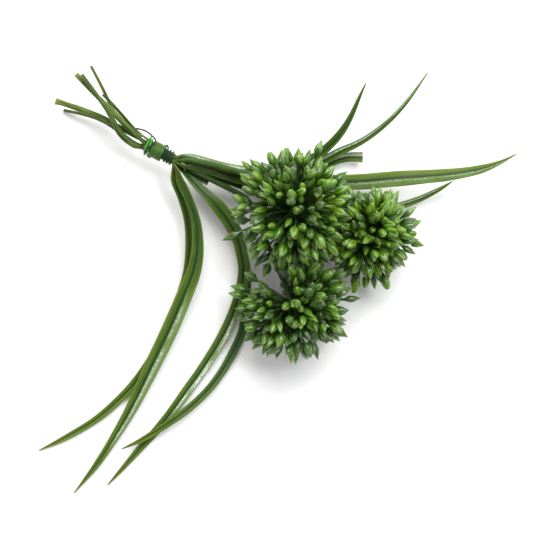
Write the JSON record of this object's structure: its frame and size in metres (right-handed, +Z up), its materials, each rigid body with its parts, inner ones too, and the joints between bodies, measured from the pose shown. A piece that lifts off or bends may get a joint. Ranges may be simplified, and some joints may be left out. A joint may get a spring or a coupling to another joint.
{
  "type": "chive bunch",
  "caption": "Cut bunch of flowering chives lying flat: round heads of plump green buds on slim stems, long strap leaves and a thread tie near the cut ends.",
  "frame": {"origin": "on the table under the middle of the bunch's box", "axes": "+X to the right of the picture, where the long leaf points, +Y up the picture, towards the cut ends, +Z up from the table"},
  "size_m": [0.2018, 0.1812, 0.0572],
  "materials": {
    "flower": "waxy satin bud and stem",
    "leaf": "waxy satin leaf with fine lengthwise veins",
    "tie_band": "smooth satin strip",
    "tie_thread": "fine twisted thread with a slight sheen"
  },
  "bodies": {
    "root": {"flower_stem_1": "flower", "flower_stem_2": "flower", "flower_stem_3": "flower", "leaf_1": "leaf", "leaf_2": "leaf", "leaf_3": "leaf", "leaf_4": "leaf", "leaf_5": "leaf", "leaf_6": "leaf", "leaf_7": "leaf", "leaf_8": "leaf", "leaf_9": "leaf", "leaf_stub": "leaf", "tie_band": "tie_band", "tie_thread": "tie_thread"}
  },
  "joints": []
}
